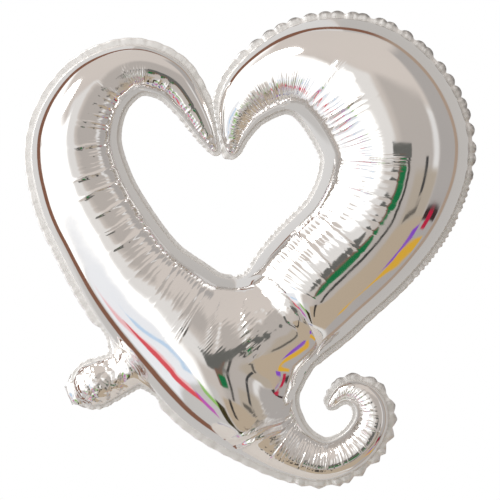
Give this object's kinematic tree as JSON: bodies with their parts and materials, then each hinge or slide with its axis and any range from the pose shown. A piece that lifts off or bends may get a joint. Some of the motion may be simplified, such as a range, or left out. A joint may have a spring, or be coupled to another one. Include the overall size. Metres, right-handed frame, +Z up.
{
  "type": "heart-shaped foil balloon",
  "caption": "Inflated silver foil balloon in the outline of an open heart that ends in a curled hook, with a welded margin, a puffed neck and a folded inflation tail.",
  "frame": {"origin": "middle of the inflated balloon's bounding box, on the plane of the welded seam", "axes": "+Z up the heart, +X to the balloon's right in its front view, +Y to the back; the front faces -Y"},
  "size_m": [0.4485, 0.1264, 0.4745],
  "materials": {
    "foil": "silver metallised film, mirror bright, pleated along the inner sides",
    "margin": "silver metallised film welded flat, dull bright and puckered",
    "valve_film": "thin clear polyethylene film"
  },
  "bodies": {
    "balloon": {"front_film": "foil", "back_film": "foil", "seam_margin": "margin", "valve_front_film": "valve_film", "valve_back_film": "valve_film"},
    "tail": {"tail_front_film": "foil", "tail_back_film": "foil", "tail_left_weld": "margin", "tail_right_weld": "margin", "tail_valve_front": "valve_film", "tail_valve_back": "valve_film"}
  },
  "joints": [
    {"name": "tail_fold", "type": "hinge", "parent": "balloon", "child": "tail", "pos_m": [-0.18326, 0, -0.14629], "axis": [-0.3987, 0, 0.9171], "range_deg": [0, 132.87]}
  ]
}
